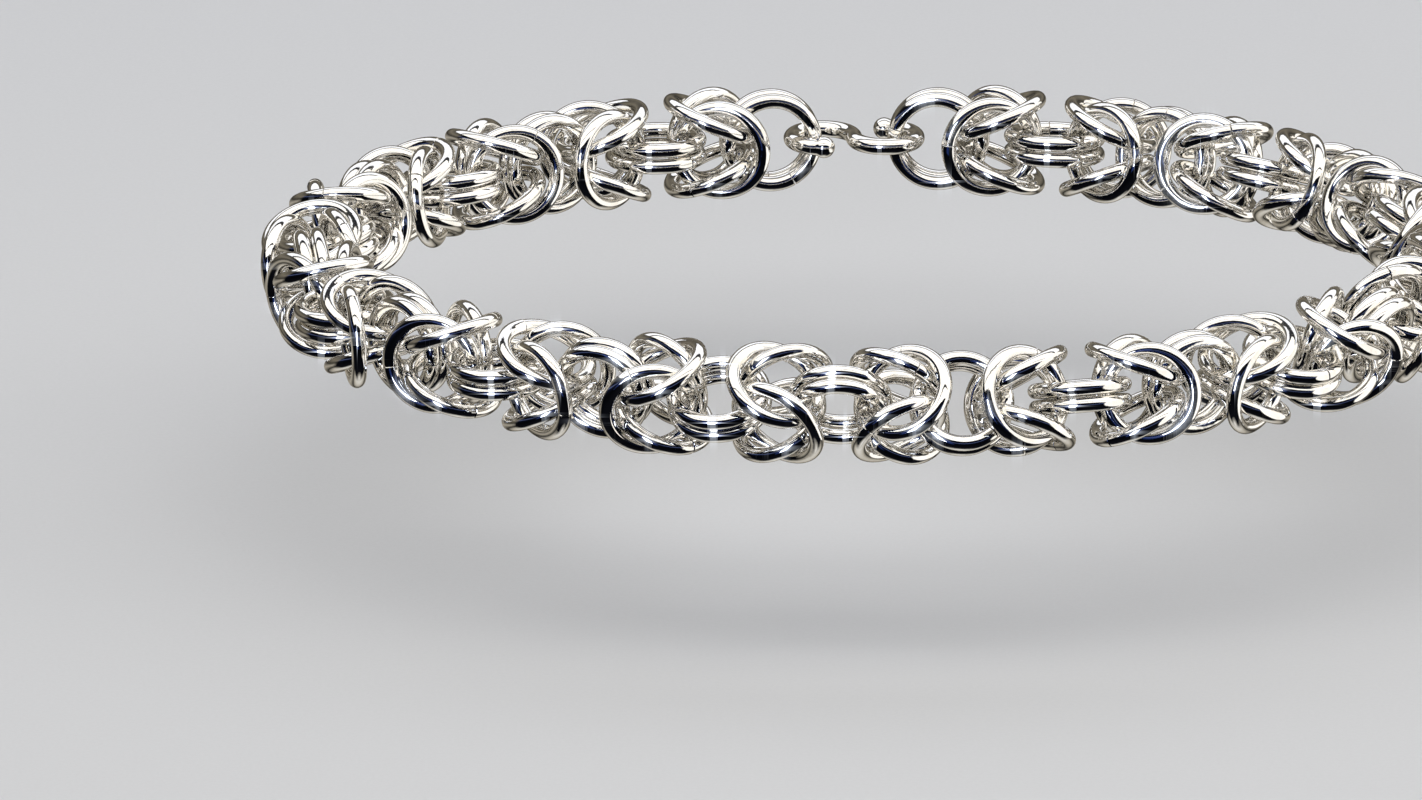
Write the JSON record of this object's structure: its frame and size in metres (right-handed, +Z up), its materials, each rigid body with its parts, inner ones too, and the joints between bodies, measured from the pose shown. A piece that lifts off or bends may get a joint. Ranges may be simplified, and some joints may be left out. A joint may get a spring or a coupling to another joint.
{
  "type": "byzantine neck chain",
  "caption": "Byzantine weave neck chain of round jump rings in pairs, closed in a level oval loop round the neck by an S-hook at the back.",
  "frame": {"origin": "centre of the neck, on the plane of the chain's loop", "axes": "+Z up along the neck; -Y at the front of the neck; +Y at the hook"},
  "size_m": [0.1444, 0.1163, 0.014],
  "materials": {
    "ring_silver": "bright polished silver",
    "hook_silver": "bright polished silver"
  },
  "bodies": {
    "root": {"byzantine_chain": "ring_silver", "hook_clasp": "hook_silver"}
  },
  "joints": []
}
